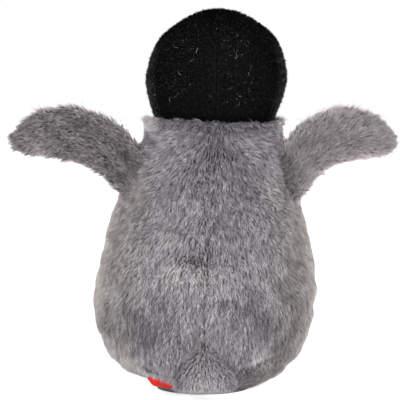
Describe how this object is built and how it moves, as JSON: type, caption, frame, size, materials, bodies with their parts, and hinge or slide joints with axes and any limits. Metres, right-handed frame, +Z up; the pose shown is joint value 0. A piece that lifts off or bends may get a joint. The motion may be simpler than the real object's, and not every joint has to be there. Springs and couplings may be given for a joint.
{
  "type": "plush penguin",
  "caption": "Stuffed penguin chick with a grey long-pile body, black hood, white face, sewn flippers, feet and tail, and a turning, nodding head.",
  "frame": {"origin": "middle of the flat round base patch that the toy stands on, at floor height", "axes": "+Z up, the toy faces -Y, its left flipper points along +X"},
  "size_m": [0.2529, 0.1491, 0.2465],
  "materials": {
    "body_fur": "long grey plush pile, soft",
    "belly_fur": "long pale grey plush pile, soft",
    "flipper_fur": "long grey plush pile, soft",
    "hood_velour": "short black velour pile",
    "face_plush": "white plush pile",
    "foot_velour": "short black velour pile",
    "beak_cloth": "smooth black cloth",
    "fibre_filling": "loose polyester fibre",
    "lining": "thin woven polyester",
    "thread": "spun polyester thread",
    "label_ribbon": "woven satin ribbon",
    "eye_gloss": "polished black",
    "washer_plastic": "moulded nylon",
    "pellets": "polyethylene granules"
  },
  "bodies": {
    "torso": {"back_panel_left": "body_fur", "back_panel_right": "body_fur", "side_panel_left": "body_fur", "side_panel_right": "body_fur", "belly_panel": "belly_fur", "base_gusset_left": "body_fur", "base_gusset_right": "body_fur", "base_patch": "body_fur", "torso_stuffing": "fibre_filling", "pellet_pouch_upper": "lining", "pellet_pouch_lower": "lining", "pellets": "pellets"},
    "neck": {"neck_stuffing": "fibre_filling"},
    "head": {"hood_back_left": "hood_velour", "hood_back_right": "hood_velour", "hood_side_left": "hood_velour", "hood_side_right": "hood_velour", "forehead_panel": "hood_velour", "nose_strip": "hood_velour", "face_left": "face_plush", "face_right": "face_plush", "chin_panel": "face_plush", "head_stuffing": "fibre_filling", "beak_upper": "beak_cloth", "beak_lower": "beak_cloth", "eye_left": "eye_gloss", "eye_right": "eye_gloss", "eye_washer_left": "washer_plastic", "eye_washer_right": "washer_plastic"},
    "left_flipper": {"flipper_back_left": "flipper_fur", "flipper_front_left": "flipper_fur", "flipper_stuffing_left": "fibre_filling", "flipper_stitching_left": "thread"},
    "right_flipper": {"flipper_back_right": "flipper_fur", "flipper_front_right": "flipper_fur", "flipper_stuffing_right": "fibre_filling", "flipper_stitching_right": "thread"},
    "left_foot": {"foot_top_left": "foot_velour", "foot_sole_left": "foot_velour", "foot_stuffing_left": "fibre_filling", "foot_stitching_left": "thread"},
    "right_foot": {"foot_top_right": "foot_velour", "foot_sole_right": "foot_velour", "foot_stuffing_right": "fibre_filling", "foot_stitching_right": "thread"},
    "tail": {"tail_top": "body_fur", "tail_under": "body_fur", "tail_stuffing": "fibre_filling", "tail_stitching": "thread"},
    "label": {"care_label": "label_ribbon", "label_stitching": "thread"}
  },
  "joints": [
    {"name": "head_turn", "type": "hinge", "parent": "torso", "child": "neck", "pos_m": [-0.0075, 0, 0.2], "axis": [0, 0, 1], "range_deg": [-15, 15], "stiffness_Nm_per_rad": 0.3},
    {"name": "head_nod", "type": "hinge", "parent": "neck", "child": "head", "pos_m": [-0.0075, 0, 0.2], "axis": [1, 0, 0], "range_deg": [-10, 10], "stiffness_Nm_per_rad": 0.3},
    {"name": "left_flipper_swing", "type": "hinge", "parent": "torso", "child": "left_flipper", "pos_m": [0.04805, 0.0155, 0.144], "axis": [0.309, 0, -0.9511], "range_deg": [-45, 54], "stiffness_Nm_per_rad": 0.05},
    {"name": "right_flipper_swing", "type": "hinge", "parent": "torso", "child": "right_flipper", "pos_m": [-0.05795, 0.0155, 0.144], "axis": [0.309, 0, 0.9511], "range_deg": [-71, 28], "stiffness_Nm_per_rad": 0.05},
    {"name": "left_foot_flap", "type": "hinge", "parent": "torso", "child": "left_foot", "pos_m": [0.027, -0.037, 0.0027], "axis": [-0.9781, -0.2079, 0], "range_deg": [-12, 15], "stiffness_Nm_per_rad": 0.05},
    {"name": "right_foot_flap", "type": "hinge", "parent": "torso", "child": "right_foot", "pos_m": [-0.027, -0.037, 0.0027], "axis": [-0.9781, 0.2079, 0], "range_deg": [-12, 15], "stiffness_Nm_per_rad": 0.05},
    {"name": "tail_lift", "type": "hinge", "parent": "torso", "child": "tail", "pos_m": [0, 0.0574, 0.031], "axis": [1, 0, 0], "range_deg": [0, 35], "stiffness_Nm_per_rad": 0.05},
    {"name": "label_flap", "type": "hinge", "parent": "torso", "child": "label", "pos_m": [0.027, 0.0453, 0.0146], "axis": [1, 0, 0], "range_deg": [-15, 35], "stiffness_Nm_per_rad": 0.0005}
  ]
}
